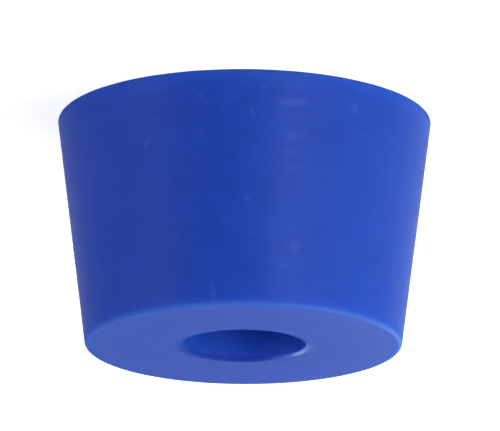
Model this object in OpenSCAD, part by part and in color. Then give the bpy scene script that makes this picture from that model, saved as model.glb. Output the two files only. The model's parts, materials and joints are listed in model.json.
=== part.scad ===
// Tapered rubber stopper with one straight hole through it.
// It stands on its wide end: +Z runs along its axis from the wide end's face to the narrow end's face,
// and the origin is the centre of the wide end's face. Lengths are in millimetres.

/* [Body] */
// Diameter of the wide end, to the corner before it is rounded
wide_d = 41.2; // [38:0.1:48]
// Diameter of the narrow end, to the corner before it is rounded
narrow_d = 34.7; // [28:0.1:37]
// Height between the two end faces
body_h = 25.4; // [18:0.1:36]

/* [Hole] */
// Diameter of the straight hole, where a tube or a probe goes through
bore_d = 13.3; // [6:0.1:18]

/* [Rounded edges] */
// Radius of the rim round the wide end
wide_rim_r = 0.1; // [0.05:0.05:1.2]
// Radius of the rim round the narrow end
narrow_rim_r = 0.4; // [0.1:0.05:1.2]
// Radius of the hole's mouth in the wide end
wide_mouth_r = 0.3; // [0.1:0.05:1]
// Radius of the hole's mouth in the narrow end
narrow_mouth_r = 0.35; // [0.1:0.05:1]

/* [Hidden] */
// Facets round a circle in the preview
$fn = 180;
// The four corners of half of the section, anticlockwise from the hole's edge in the wide end
wide_mouth = [bore_d / 2, 0];
wide_rim = [wide_d / 2, 0];
narrow_rim = [narrow_d / 2, body_h];
narrow_mouth = [bore_d / 2, body_h];
// How far a corner's cutter stands proud of the corner, as a share of its distance to the arc's centre
overcut = 0.25;
// How far an arc's centre is pushed towards its corner, so that rounded numbers leave no sliver beside the arc
push = 0.0003;

function unit(v) = v / norm(v);

// What a corner loses when it is rounded: the area between its two sides and an arc tangent to both.
// before and after are its neighbouring corners, and r is the arc's radius.
module corner_waste(before, corner, after, r) {
    side_a = unit(before - corner);
    side_b = unit(after - corner);
    half_angle = acos(side_a * side_b) / 2;
    tangent_length = r / tan(half_angle);
    centre = corner + unit(side_a + side_b) * (r / sin(half_angle) - push);
    difference() {
        polygon([
            corner + side_a * tangent_length,
            centre,
            corner + side_b * tangent_length,
            corner + (corner - centre) * overcut
        ]);
        translate(centre) circle(r);
    }
}

// Half of the section, from the hole's wall out to the taper, with its four corners rounded
module half_section() {
    difference() {
        polygon([wide_mouth, wide_rim, narrow_rim, narrow_mouth]);
        corner_waste(narrow_mouth, wide_mouth, wide_rim, wide_mouth_r);
        corner_waste(wide_mouth, wide_rim, narrow_rim, wide_rim_r);
        corner_waste(wide_rim, narrow_rim, narrow_mouth, narrow_rim_r);
        corner_waste(narrow_rim, narrow_mouth, wide_mouth, narrow_mouth_r);
    }
}

// The whole stopper, moulded in one piece
module stopper() {
    color([0.16, 0.28, 0.66])
        rotate_extrude() half_section();
}

stopper();
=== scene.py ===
"""The looks of a one-hole rubber stopper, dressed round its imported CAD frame.

Lengths are in metres in the CAD's own frame: the wide end stands on z = 0 and +Z is the axis.
A turn is an angle round that axis in degrees, from -Y, where the camera stands, towards +X.
"""

import json
import math

import bpy
from mathutils import Matrix, Vector, noise


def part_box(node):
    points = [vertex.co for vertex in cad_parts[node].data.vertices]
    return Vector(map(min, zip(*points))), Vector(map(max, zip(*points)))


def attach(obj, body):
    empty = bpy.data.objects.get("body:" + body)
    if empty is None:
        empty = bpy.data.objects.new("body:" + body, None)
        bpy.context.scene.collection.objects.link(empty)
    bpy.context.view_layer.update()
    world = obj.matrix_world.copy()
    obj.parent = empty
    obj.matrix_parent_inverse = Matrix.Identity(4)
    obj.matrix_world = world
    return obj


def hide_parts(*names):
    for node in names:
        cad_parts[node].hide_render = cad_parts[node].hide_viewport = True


MM = 0.001
TOUCH = 1e-7  # two heights closer than this are the same

# ---------------------------------------------------------------- camera, as in the photograph
PHOTO_WIDTH = 500
FOCAL_PX = 6366.0
CAMERA_DISTANCE = 0.7
CAMERA_ELEVATION = 15.62
CAMERA_ROLL = 180.3         # the photograph shows the stopper upside-down
MIDDLE_PX = (-6.15, 18.65)  # the stopper's middle, right of and below the picture's centre
SENSOR_WIDTH = 36.0
NEAREST, FURTHEST = 0.05, 20

# ---------------------------------------------------------------- the skin's mesh
SEGMENTS = 432
TAPER_ROWS = 128
WIDE_FACE_ROWS = 24
NARROW_FACE_ROWS = 34
BORE_ROWS = 12
RIM_ROWS = 8
EDGE_REACH = 0.8 * MM       # how far a rim's wear spreads on to the faces beside it

# ---------------------------------------------------------------- relief, all of it cut inwards
RING_PITCH = 1.75 * MM      # turning marks of the mould
RING_DEPTH = 0.018 * MM
RING_FADE = 8 * MM          # they fade from the wide end upwards
RING_FLOOR = 0.25
RING_WOBBLE = 0.35          # how far they stray, as a share of the pitch
WOBBLE_SIZE = 3 * MM
RING_STRENGTH = 0.7         # their middling strength, and how much it varies with the place
RING_VARIETY = 0.6
VARIETY_SIZE = 5 * MM
WAVE_SIZE = 7 * MM          # slow unevenness of moulded rubber
WAVE_DEPTH = 0.02 * MM
RIM_WEAR_SIZE = 2.2 * MM
RIM_WEAR_DEPTH = 0.015 * MM
RIM_WEAR_MORE = 0.3         # the larger, the more of a rim is worn
WEAR_SHIFT = Vector((7, 7, 7))
RUB = (-120, 25.3, 7.2)     # where the hole's mouth is rubbed round, as a mark's place below
RUB_SIZE = 6.2 * MM
RUB_WIDTH = 1.4 * MM
RUB_DEPTH = 0.28 * MM

# ---------------------------------------------------------------- the rubber's colour
# Painted glow at the outer rims, wear and painted sheen on the narrow rim, and painted shade at the
# hole's mouth are part of it. Apart from noise, the marks and the rubbed place, it is the same all the
# way round.
DEEP_BLUE = (0.0075, 0.054, 0.42)
PALE_BLUE = (0.0110, 0.072, 0.51)
PAINTED_GLOW_BLUE = (0.0130, 0.098, 0.62)   # painted glow at a rim, standing in for light coming through it
WIDE_REACH = 0.9 * MM               # how far that spreads up the taper from the wide end
NARROW_REACH = 0.5 * MM             # down the taper from the narrow end
FACE_REACH = 1.5 * MM               # and inwards over the narrow face
NARROW_GLOW_LOSS = 0.4              # how much weaker it is at the narrow end
FACE_GLOW_LOSS = 0.2                # and weaker still on the narrow face
OUTSIDE = 12 * MM                   # radius beyond which a point is nearer a rim than the hole
ON_FACE = 0.995                     # share of the height above which a point is on the narrow face
WORN_AND_SHEEN_BLUE = (0.032, 0.112, 0.51)    # the narrow rim itself, paler and greyer: partly wear, partly painted sheen
WORN_AND_SHEEN_REACH = 0.12 * MM
MOUTH_SHADE_BLUE = (0.004, 0.030, 0.27)   # painted shade round the hole's mouth
MOUTH_REACH = 0.15 * MM
MOUTH_SHADE_SHARE = 0.9
CLOUD_SIZE = 4.5 * MM
CLOUD_TONE = 0.55                   # how far the clouds swing between deep and pale
MOTTLE_SIZE = 0.5 * MM
MOTTLE_TONE = 0.5
STREAK_WIDTH = 0.55 * MM            # fine mould rings
STREAK_TURN = 1.6 * MM              # the smaller this is, the longer they are
STREAK_FADE = 4.0                   # they fade from the wide end upwards
STREAK_REST = 0.2                   # to this share of their strength
# Tint of the dust specks, the scratch and the painted highlights
DUST_AND_HIGHLIGHT = (0.19, 0.37, 0.95)
RUST = (0.30, 0.16, 0.25)

# ---------------------------------------------------------------- its gloss, depth and grain
ROUGHNESS = 0.45
ROUGHNESS_SWING = 0.05
RIM_ROUGHER = 0.2
MOUTH_ROUGHER = 0.45
RUB_SMOOTHER = 0.2
IOR = 1.43
SHINE = 0.22
WIDE_COAT = 0.08
NARROW_COAT = 0.02
RUB_COAT = 0.9
COAT_ROUGHNESS = 0.2
COAT_IOR = 1.5
SCATTER_RADIUS = (0.6, 1.0, 1.0)
SCATTER_SCALE = 2.0 * MM
STREAK_HEIGHT = 0.006 * MM
GRAIN_SIZE = 0.12 * MM
GRAIN_HEIGHT = 0.0008 * MM
MOTTLE_HEIGHT = 0.0012 * MM
SPECK_HEIGHT = 0.02 * MM
NOISE_ROUGHNESS = 0.55

# Marks: turn, height, radius from the axis or None on the taper, size, strength, colour.
# Heights, radii and sizes are in millimetres. Flatness is how much a mark is squeezed in height.
SPECKS = [
    (32.3, 7.3, None, 0.57, 0.111, DUST_AND_HIGHLIGHT),
    (13.7, 6.6, None, 0.40, 0.093, DUST_AND_HIGHLIGHT),
    (13.7, 2.8, None, 0.42, 0.111, DUST_AND_HIGHLIGHT),
    (-2.3, 4.6, None, 0.42, 0.111, DUST_AND_HIGHLIGHT),
    (-0.9, 13.9, None, 0.59, 0.093, DUST_AND_HIGHLIGHT),
    (-5.8, 2.0, None, 0.50, 0.093, DUST_AND_HIGHLIGHT),
    (-36.1, 3.2, None, 0.89, 0.068, DUST_AND_HIGHLIGHT),
    (7.0, 16.4, None, 0.83, 0.051, DUST_AND_HIGHLIGHT),
    # The next two are painted highlights along the sheen band, not dust
    (-17.1, 18.9, None, 1.0, 0.080, DUST_AND_HIGHLIGHT),
    (-14.0, 20.6, None, 1.2, 0.035, DUST_AND_HIGHLIGHT),
    (11.0, 23.2, None, 0.50, 0.06, DUST_AND_HIGHLIGHT),
    (10.7, 24.5, None, 0.45, 0.051, DUST_AND_HIGHLIGHT),
    (46.1, 23.4, None, 0.34, 0.15, RUST),
    (40.9, 25.4, 10.5, 0.45, 0.16, RUST),
    (6.3, 25.4, 12.3, 0.90, 0.10, DUST_AND_HIGHLIGHT),
]
# Painted highlights: soft pale blobs along the sheen band, where the mould rings catch the light
PAINTED_HIGHLIGHTS = [
    (-13.5, 3.5, None, 1.9, 0.080, DUST_AND_HIGHLIGHT),
    (-18.0, 3.2, None, 1.7, 0.065, DUST_AND_HIGHLIGHT),
    (-16.0, 7.0, None, 1.7, 0.045, DUST_AND_HIGHLIGHT),
    (-15.0, 8.8, None, 1.7, 0.040, DUST_AND_HIGHLIGHT),
    (-16.0, 10.5, None, 1.8, 0.040, DUST_AND_HIGHLIGHT),
]
HIGHLIGHT_FLATNESS = 2.4
SCRATCHES = [
    (10.8, 24.0, None, 0.40, 0.07, DUST_AND_HIGHLIGHT),
]
SCRATCH_FLATNESS = 0.35

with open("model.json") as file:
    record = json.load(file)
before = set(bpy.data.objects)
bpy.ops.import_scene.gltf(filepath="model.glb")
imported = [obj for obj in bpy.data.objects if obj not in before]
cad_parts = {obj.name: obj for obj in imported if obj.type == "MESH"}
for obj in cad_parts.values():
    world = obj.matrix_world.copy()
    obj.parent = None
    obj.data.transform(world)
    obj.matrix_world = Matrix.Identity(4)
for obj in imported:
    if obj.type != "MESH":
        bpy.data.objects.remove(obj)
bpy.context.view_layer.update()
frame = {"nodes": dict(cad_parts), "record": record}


# ================================================================ sizes from the frame
class Section:
    """Half of the stopper's section, measured from the CAD frame."""

    def __init__(self, node):
        bore = next(m for m in frame["record"]["mounts"] if m["name"] == "tube_bore")
        self.bore_r = bore["dims"]["r_mm"] * MM
        self.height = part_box(node)[1].z
        half = bore["dims"]["length_mm"] * MM / 2
        self.wide_mouth_r = bore["pos_m"][2] - half
        self.narrow_mouth_r = self.height - bore["pos_m"][2] - half
        mesh = frame["nodes"][node].data
        self.lean = math.asin(middle_slope(mesh, 2 * self.bore_r))
        self.side = (math.cos(self.lean), math.sin(self.lean))
        places = [(v.co.xy.length, v.co.z) for v in mesh.vertices]
        reach = max(r * self.side[0] + z * self.side[1] for r, z in places)
        self.wide_r = reach / self.side[0]
        self.narrow_r = self.radius_at(self.height)
        self.wide_face_r = max(r for r, z in places if z < TOUCH)
        self.narrow_face_r = max(r for r, z in places if z > self.height - TOUCH)
        self.wide_rim_r = (self.wide_r - self.wide_face_r) * math.tan(math.pi / 4 - self.lean / 2)
        self.narrow_rim_r = (self.narrow_r - self.narrow_face_r) * math.tan(math.pi / 4 + self.lean / 2)

    def radius_at(self, z):
        """The taper's radius at a height."""
        return self.wide_r - z * math.tan(self.lean)


def middle_slope(mesh, beyond):
    """The upward part of the taper's normal: the middle value, by area, of the CAD's outer wall."""
    walls = sorted((p.normal.z, p.area) for p in mesh.polygons
                   if p.center.xy.length > beyond and abs(p.normal.z) < 0.5)
    left = sum(area for _, area in walls) / 2
    for slope, area in walls:
        left -= area
        if left <= 0:
            return slope


section = Section("stopper")


def mark_place(turn, height, radius):
    """Where a mark lies: on the taper at a height, or at a radius of its own."""
    out = section.radius_at(height * MM) if radius is None else radius * MM
    angle = math.radians(turn)
    return Vector((out * math.sin(angle), -out * math.cos(angle), height * MM))


# ================================================================ the skin
def arc(centre, radius, start, end):
    """Points round an arc of the section, without its last one, as (radius, height, normal, away)."""
    for i in range(RIM_ROWS):
        angle = start + (end - start) * i / RIM_ROWS
        normal = (math.cos(angle), math.sin(angle))
        yield centre[0] + radius * normal[0], centre[1] + radius * normal[1], normal, 0.0


def line(start, end, normal, rows):
    """Points along a straight stretch of the section, without its last one. away is from its ends."""
    length = math.dist(start, end)
    for i in range(rows):
        t = i / rows
        away = min(t, 1 - t) * length
        yield start[0] + (end[0] - start[0]) * t, start[1] + (end[1] - start[1]) * t, normal, away


def outline():
    """The section's closed outline, from the wide end's mouth outwards and round to the bore."""
    s = section
    down, up, left = -math.pi / 2, math.pi / 2, math.pi
    wide_c = (s.wide_face_r, s.wide_rim_r)
    narrow_c = (s.narrow_face_r, s.height - s.narrow_rim_r)
    taper_low = (wide_c[0] + s.wide_rim_r * s.side[0], wide_c[1] + s.wide_rim_r * s.side[1])
    taper_high = (narrow_c[0] + s.narrow_rim_r * s.side[0], narrow_c[1] + s.narrow_rim_r * s.side[1])
    low_mouth_c = (s.bore_r + s.wide_mouth_r, s.wide_mouth_r)
    high_mouth_c = (s.bore_r + s.narrow_mouth_r, s.height - s.narrow_mouth_r)
    yield from line((low_mouth_c[0], 0), (wide_c[0], 0), (0, -1), WIDE_FACE_ROWS)
    yield from arc(wide_c, s.wide_rim_r, down, s.lean)
    yield from line(taper_low, taper_high, s.side, TAPER_ROWS)
    yield from arc(narrow_c, s.narrow_rim_r, s.lean, up)
    yield from line((narrow_c[0], s.height), (high_mouth_c[0], s.height), (0, 1), NARROW_FACE_ROWS)
    yield from arc(high_mouth_c, s.narrow_mouth_r, up, left)
    yield from line((s.bore_r, high_mouth_c[1]), (s.bore_r, low_mouth_c[1]), (-1, 0), BORE_ROWS)
    yield from arc(low_mouth_c, s.wide_mouth_r, left, left + up)


def relief(place, along, away):
    """How deep the surface lies under the CAD's: mould rings, slow waves, rim wear and the rub."""
    edge = max(0.0, 1 - away / EDGE_REACH)
    wobble = noise.noise(Vector((along / WOBBLE_SIZE, 0.5, 0.5)))
    height = max(place.z, 0.0)
    fade = RING_FLOOR + (1 - RING_FLOOR) * math.exp(-((height / RING_FADE) ** 2))
    lively = RING_STRENGTH + RING_VARIETY * noise.noise(place / VARIETY_SIZE)
    ring = 0.5 + 0.5 * math.cos(2 * math.pi * (along / RING_PITCH + RING_WOBBLE * wobble))
    wave = 0.5 + 0.5 * noise.noise(place / WAVE_SIZE)
    wear = max(0.0, noise.noise(place / RIM_WEAR_SIZE + WEAR_SHIFT) + RIM_WEAR_MORE)
    near = max(0.0, 1 - (place - mark_place(*RUB)).length / RUB_SIZE)
    rub = near * near * (3 - 2 * near) * max(0.0, 1 - away / RUB_WIDTH) ** 2
    return (RING_DEPTH * fade * lively * ring * (1 - edge)
            + WAVE_DEPTH * wave
            + RIM_WEAR_DEPTH * edge * wear
            + RUB_DEPTH * rub)


def lengths(rows):
    """How far along the outline each row lies."""
    total, found = 0.0, []
    for i, row in enumerate(rows):
        total += math.dist(row[:2], rows[i - 1][:2]) if i else 0.0
        found.append(total)
    return found


def build_skin():
    """The stopper's surface: the CAD's section turned round the axis, with its relief."""
    rows = list(outline())
    along = lengths(rows)
    vertices, alongs, aways = [], [], []
    for (radius, height, normal, away), distance in zip(rows, along):
        for i in range(SEGMENTS):
            turn = 2 * math.pi * i / SEGMENTS
            outward = Vector((math.cos(turn), math.sin(turn), 0))
            place = outward * radius + Vector((0, 0, height))
            depth = relief(place, distance, away)
            place -= (outward * normal[0] + Vector((0, 0, normal[1]))) * depth
            vertices.append(place)
            alongs.append(distance)
            aways.append(away)
    faces, corners = [], []
    for j in range(len(rows)):
        low, high = j * SEGMENTS, (j + 1) % len(rows) * SEGMENTS
        for i in range(SEGMENTS):
            k = (i + 1) % SEGMENTS
            faces.append((low + i, low + k, high + k, high + i))
            corners += [(i, j), (i + 1, j), (i + 1, j + 1), (i, j + 1)]
    mesh = bpy.data.meshes.new("stopper_skin")
    mesh.from_pydata(vertices, [], faces)
    for name, values in (("along", alongs), ("away", aways)):
        mesh.attributes.new(name, "FLOAT", "POINT").data.foreach_set("value", values)
    grid = mesh.uv_layers.new(name="UVMap")
    grid.data.foreach_set("uv", [c for i, j in corners for c in (i / SEGMENTS, j / len(rows))])
    mesh.shade_smooth()
    skin = bpy.data.objects.new("stopper_skin", mesh)
    bpy.context.scene.collection.objects.link(skin)
    return skin


# ================================================================ materials
class Graph:
    """A material's or the world's nodes, with short calls to make and join them."""

    def __init__(self, owner):
        owner.use_nodes = True
        self.tree = owner.node_tree
        self.tree.nodes.clear()

    def add(self, kind, inputs=None, **settings):
        """A node with its settings, whose inputs are joined to sockets or set to values."""
        node = self.tree.nodes.new("ShaderNode" + kind)
        for name, value in settings.items():
            setattr(node, name, value)
        for name, value in (inputs or {}).items():
            if isinstance(value, bpy.types.NodeSocket):
                self.tree.links.new(value, node.inputs[name])
            else:
                node.inputs[name].default_value = value
        return node

    def math(self, operation, a, b=0.0, c=0.0):
        return self.add("Math", {0: a, 1: b, 2: c}, operation=operation).outputs[0]

    def vector(self, operation, a, b=(0, 0, 0)):
        return self.add("VectorMath", {0: a, 1: b}, operation=operation).outputs[0]

    def scale(self, vector, factor):
        return self.add("VectorMath", {0: vector, "Scale": factor}, operation="SCALE").outputs[0]

    def blend(self, factor, a, b):
        """A colour between a and b."""
        node = self.add("Mix", data_type="RGBA")
        for socket, value in ((node.inputs[0], factor), (node.inputs[6], a), (node.inputs[7], b)):
            if isinstance(value, bpy.types.NodeSocket):
                self.tree.links.new(value, socket)
            elif isinstance(value, tuple):
                socket.default_value = (*value, 1)
            else:
                socket.default_value = value
        return node.outputs[2]

    def noise(self, vector, size, detail=2.0):
        """Noise between 0 and 1, whose lumps are about as wide as size."""
        inputs = {"Vector": vector, "Scale": 1 / size, "Detail": detail, "Roughness": NOISE_ROUGHNESS}
        return self.add("TexNoise", inputs).outputs["Fac"]

    def spot(self, place, centre, size, strength, flatness=1):
        """Strength at a centre, fading to nothing at size from it. Flatness squeezes it in height."""
        if flatness != 1:
            place = self.vector("MULTIPLY", place, (1, 1, flatness))
            centre = (centre[0], centre[1], centre[2] * flatness)
        away = self.add("VectorMath", {0: place, 1: centre}, operation="DISTANCE").outputs["Value"]
        fade = {"Value": away, "From Max": size, "To Min": strength, "To Max": 0.0}
        return self.add("MapRange", fade, interpolation_type="SMOOTHSTEP").outputs[0]

    def rest(self, value):
        """What is left of 1."""
        return self.math("SUBTRACT", 1.0, value)

    def near(self, away, reach):
        """1 where away is nothing, falling evenly to 0 at reach."""
        return self.math("MAXIMUM", self.rest(self.math("DIVIDE", away, reach)), 0.0)

    def fading(self, away, reach):
        """1 where away is nothing, dying out over about reach."""
        return self.math("EXPONENT", self.math("DIVIDE", self.math("MULTIPLY", away, -1), reach))

    def swing(self, value, amount):
        """A noise value, turned into one that swings by amount either side of zero."""
        return self.math("MULTIPLY", self.math("SUBTRACT", value, 0.5), 2 * amount)

    def total(self, *values):
        """The sum of several values."""
        result = values[0]
        for value in values[1:]:
            result = self.math("ADD", result, value)
        return result

    def product(self, *values):
        """The product of several values."""
        result = values[0]
        for value in values[1:]:
            result = self.math("MULTIPLY", result, value)
        return result


class Skin:
    """What the rubber's colour, gloss and height depend on, as sockets of its graph."""

    def __init__(self, g):
        self.place = g.add("TexCoord").outputs["Object"]
        self.along = g.add("Attribute", attribute_name="along").outputs["Fac"]
        self.away = g.add("Attribute", attribute_name="away").outputs["Fac"]
        flat = g.vector("MULTIPLY", self.place, (1, 1, 0))
        up = g.add("SeparateXYZ", {0: self.place}).outputs["Z"]
        self.level = g.math("DIVIDE", up, section.height)
        from_axis = g.add("VectorMath", {0: flat}, operation="LENGTH").outputs["Value"]
        self.outer = g.math("GREATER_THAN", from_axis, OUTSIDE)
        self.clouds = g.noise(self.place, CLOUD_SIZE)
        self.mottle = g.noise(self.place, MOTTLE_SIZE, 3)
        self.grain = g.noise(self.place, GRAIN_SIZE)
        self.add_rings(g, flat)
        self.add_mouth(g)

    def add_rings(self, g, flat):
        """Fine mould rings: noise that is drawn out round the axis, and fades upwards."""
        around = g.scale(g.vector("NORMALIZE", flat), STREAK_TURN)
        at = g.vector("ADD", around, g.add("CombineXYZ", {"Z": self.along}).outputs[0])
        self.streaks = g.noise(at, STREAK_WIDTH)
        faded = g.math("EXPONENT", g.math("MULTIPLY", self.level, -STREAK_FADE))
        strength = g.math("MULTIPLY_ADD", faded, 1 - STREAK_REST, STREAK_REST)
        self.streak = g.product(g.swing(self.streaks, 1.0), strength)

    def add_mouth(self, g):
        """The hole's mouth, whose mask carries painted shade and extra roughness, and the place where it
        is rubbed round.
        """
        inner = g.rest(self.outer)
        patch = g.spot(self.place, mark_place(*RUB), RUB_SIZE, 1.0)
        self.polished = g.product(g.near(self.away, RUB_WIDTH), inner, patch)
        self.mouth = g.product(g.fading(self.away, MOUTH_REACH), inner, g.rest(patch))


def clean_colour(g, skin):
    """The rubber's colour without its marks, the same all the way round but for noise and the rub: with
    painted glow at the outer rims, wear and painted sheen on the narrow rim, and painted shade at the
    hole's mouth.
    """
    tone = g.total(0.5, g.swing(skin.clouds, CLOUD_TONE), g.swing(skin.mottle, MOTTLE_TONE), skin.streak)
    on_face = g.math("GREATER_THAN", skin.level, ON_FACE)
    reach = g.total(WIDE_REACH, g.math("MULTIPLY", skin.level, NARROW_REACH - WIDE_REACH),
                    g.math("MULTIPLY", on_face, FACE_REACH - NARROW_REACH))
    less = g.total(g.math("MULTIPLY", skin.level, NARROW_GLOW_LOSS),
                   g.math("MULTIPLY", on_face, FACE_GLOW_LOSS))
    # Painted glow: the outer rims and the narrow face beside them made paler and greener, standing in for
    # light coming through the rubber
    glow = g.product(g.fading(skin.away, reach), g.rest(less), skin.outer)
    # Partly wear, partly painted sheen: the narrow rim made paler and greyer
    worn_and_sheen = g.product(g.fading(skin.away, WORN_AND_SHEEN_REACH), skin.outer, skin.level)
    colour = g.blend(glow, g.blend(tone, DEEP_BLUE, PALE_BLUE), PAINTED_GLOW_BLUE)
    colour = g.blend(worn_and_sheen, colour, WORN_AND_SHEEN_BLUE)
    # Painted shade: the hole's mouth darkened all the way round, except at the rubbed place
    return g.blend(g.math("MULTIPLY", skin.mouth, MOUTH_SHADE_SHARE), colour, MOUTH_SHADE_BLUE)


def add_marks(g, skin, colour):
    """The colour with its marks and painted highlights on it, and how far the specks among them stand up.
    """
    lumps = 0.0
    kinds = ((1, SPECKS), (HIGHLIGHT_FLATNESS, PAINTED_HIGHLIGHTS), (SCRATCH_FLATNESS, SCRATCHES))
    for flatness, marks in kinds:
        for turn, height, radius, size, strength, tint in marks:
            centre = mark_place(turn, height, radius)
            spot = g.spot(skin.place, centre, size * MM, strength, flatness)
            colour = g.blend(spot, colour, tint)
            if flatness == 1:
                lumps = g.math("ADD", lumps, spot)
    return colour, lumps


def gloss(g, skin):
    """The roughness of the rubber, and the weight of its coat."""
    edge = g.near(skin.away, EDGE_REACH)
    roughness = g.total(ROUGHNESS, g.swing(skin.clouds, ROUGHNESS_SWING),
                        g.swing(skin.mottle, ROUGHNESS_SWING), g.swing(skin.streaks, ROUGHNESS_SWING),
                        g.product(edge, skin.outer, RIM_ROUGHER),
                        g.math("MULTIPLY", skin.mouth, MOUTH_ROUGHER),
                        g.math("MULTIPLY", skin.polished, -RUB_SMOOTHER))
    coat = g.math("MULTIPLY_ADD", skin.level, NARROW_COAT - WIDE_COAT, WIDE_COAT)
    return roughness, g.math("ADD", coat, g.math("MULTIPLY", skin.polished, RUB_COAT))


def rubber():
    """Blue silicone rubber: satin, slightly see-through, with mould rings, mottle, wear and dust, painted
    glow at its rims, painted shade at the hole's mouth and painted highlights.
    """
    material = bpy.data.materials.new("blue_rubber")
    g = Graph(material)
    skin = Skin(g)
    colour, lumps = add_marks(g, skin, clean_colour(g, skin))
    roughness, coat = gloss(g, skin)
    height = g.total(g.math("MULTIPLY", skin.streak, STREAK_HEIGHT), g.swing(skin.grain, GRAIN_HEIGHT),
                     g.swing(skin.mottle, MOTTLE_HEIGHT), g.math("MULTIPLY", lumps, SPECK_HEIGHT))
    bump = g.add("Bump", {"Height": height, "Strength": 1.0, "Distance": 1.0}).outputs[0]
    shader = g.add("BsdfPrincipled", {
        "Base Color": colour, "Roughness": roughness, "Normal": bump, "IOR": IOR,
        "Specular IOR Level": SHINE, "Subsurface Weight": 1.0,
        "Coat Weight": coat, "Coat Roughness": COAT_ROUGHNESS, "Coat IOR": COAT_IOR,
        "Subsurface Radius": SCATTER_RADIUS, "Subsurface Scale": SCATTER_SCALE,
    })
    g.add("OutputMaterial", {"Surface": shader.outputs[0]})
    return material


# ================================================================ stage, lights and camera
FLOOR_HALF = 3.0
FLOOR_TONE = 0.5
FLOOR_GLOW = 0.76   # near the stopper, so that its shadow still shows there
SHADOW_REACH = 0.12
MIRRORED = 0.25     # share of the white backdrop that mirrored rays see
WHITE = (1, 1, 1, 1)


def backdrop_share(g):
    """1 for the camera and for rays through glass, and a share of that for mirrored rays."""
    path = g.add("LightPath").outputs
    seen = g.math("MAXIMUM", path["Is Camera Ray"], path["Is Transmission Ray"])
    return g.math("MAXIMUM", seen, g.math("MULTIPLY", path["Is Glossy Ray"], MIRRORED))


def build_floor():
    """A plain pale floor that looks white and keeps the stopper's soft shadow."""
    mesh = bpy.data.meshes.new("floor")
    sides = [(-1, -1), (1, -1), (1, 1), (-1, 1)]
    mesh.from_pydata([(x * FLOOR_HALF, y * FLOOR_HALF, 0) for x, y in sides], [], [(0, 1, 2, 3)])
    material = bpy.data.materials.new("floor")
    g = Graph(material)
    matt = g.add("BsdfDiffuse", {"Color": (FLOOR_TONE,) * 3 + (1,)}).outputs[0]
    place = g.add("TexCoord").outputs["Object"]
    dimmed = g.spot(place, (0, 0, 0), SHADOW_REACH, 1 - FLOOR_GLOW)
    strength = g.math("MULTIPLY", backdrop_share(g), g.math("SUBTRACT", 1.0, dimmed))
    glow = g.add("Emission", {"Color": WHITE, "Strength": strength}).outputs[0]
    g.add("OutputMaterial", {"Surface": g.add("AddShader", {0: matt, 1: glow}).outputs[0]})
    mesh.materials.append(material)
    floor = bpy.data.objects.new("floor", mesh)
    bpy.context.scene.collection.objects.link(floor)


def build_world():
    """A backdrop that looks white, and lights nothing except by what shiny surfaces mirror of it."""
    world = bpy.data.worlds.new("studio")
    bpy.context.scene.world = world
    g = Graph(world)
    white = g.add("Background", {"Color": WHITE, "Strength": backdrop_share(g)}).outputs[0]
    g.add("OutputWorld", {"Surface": white})


# Lamps: name, turn, elevation, distance, width, height, strength at the stopper, colour.
# Their tints: the left ones a little violet, the back ones blue, key, rim and side faintly warm or green.
LAMPS = [
    ("key", -60, 30, 0.2, 0.106, 0.106, 0.65, (1, 1, 0.96)),
    ("rim", -150, 30, 0.2, 0.106, 0.106, 0.438, (0.97, 1, 0.98)),
    ("side", -90, 30, 0.2, 0.106, 0.106, 0.195, (0.98, 1, 0.86)),
    ("fill", 45, 35, 1.0, 0.44, 0.44, 0.30, (1, 1, 1)),
    ("strip", -30, 10, 1.0, 0.31, 0.31, 0.263, (1, 1, 1)),
    ("left", 60, 10, 1.0, 0.31, 0.31, 0.204, (0.81, 0.73, 1)),
    ("far left", 90, 10, 1.0, 0.31, 0.31, 0.112, (0.82, 0.71, 1)),
    ("back", 180, 10, 1.0, 0.31, 0.31, 0.034, (0.19, 0.32, 1)),
    ("low back", 163, 30, 0.6, 0.13, 0.28, 0.13, (0.48, 0.68, 1)),
]


def build_lamp(name, turn, elevation, distance, width, height, strength, colour):
    """A soft rectangular lamp that faces the stopper. A strength of 1 lights a white face as white."""
    a, e = math.radians(turn), math.radians(elevation)
    back = Vector((math.sin(a) * math.cos(e), -math.cos(a) * math.cos(e), math.sin(e)))
    data = bpy.data.lights.new(name, "AREA")
    data.shape, data.size, data.size_y = "RECTANGLE", width, height
    data.energy = strength * (math.pi * distance) ** 2
    data.color = colour
    lamp = bpy.data.objects.new(name, data)
    turned = back.to_track_quat("Z", "Y").to_matrix().to_4x4()
    lamp.matrix_world = Matrix.Translation(back * distance + Vector((0, 0, section.height / 2))) @ turned
    lamp.visible_camera = False
    bpy.context.scene.collection.objects.link(lamp)


def build_camera():
    """The photograph's camera. Its aim is a little off the stopper, as the photograph's framing is."""
    middle = Vector((0, 0, section.height / 2))
    elevation = math.radians(CAMERA_ELEVATION)
    back = Vector((0, -math.cos(elevation), math.sin(elevation)))
    upright = back.to_track_quat("Z", "Y").to_matrix()
    turned = upright @ Matrix.Rotation(math.radians(CAMERA_ROLL), 3, "Z")
    per_px = CAMERA_DISTANCE / FOCAL_PX
    aim = middle + turned @ Vector((-MIDDLE_PX[0], MIDDLE_PX[1], 0)) * per_px
    place = middle + back * CAMERA_DISTANCE
    swing = back.rotation_difference(place - aim).to_matrix()
    data = bpy.data.cameras.new("camera")
    data.sensor_width = SENSOR_WIDTH
    data.lens = FOCAL_PX * SENSOR_WIDTH / PHOTO_WIDTH
    data.clip_start, data.clip_end = NEAREST, FURTHEST
    camera = bpy.data.objects.new("camera", data)
    camera.matrix_world = Matrix.Translation(place) @ (swing @ turned).to_4x4()
    bpy.context.scene.collection.objects.link(camera)
    bpy.context.scene.camera = camera


# ================================================================ the scene
stopper = build_skin()
stopper.data.materials.append(rubber())
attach(stopper, "root")
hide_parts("stopper")

build_camera()
build_floor()
build_world()
for lamp in LAMPS:
    build_lamp(*lamp)
bpy.context.scene.view_settings.view_transform = "Standard"
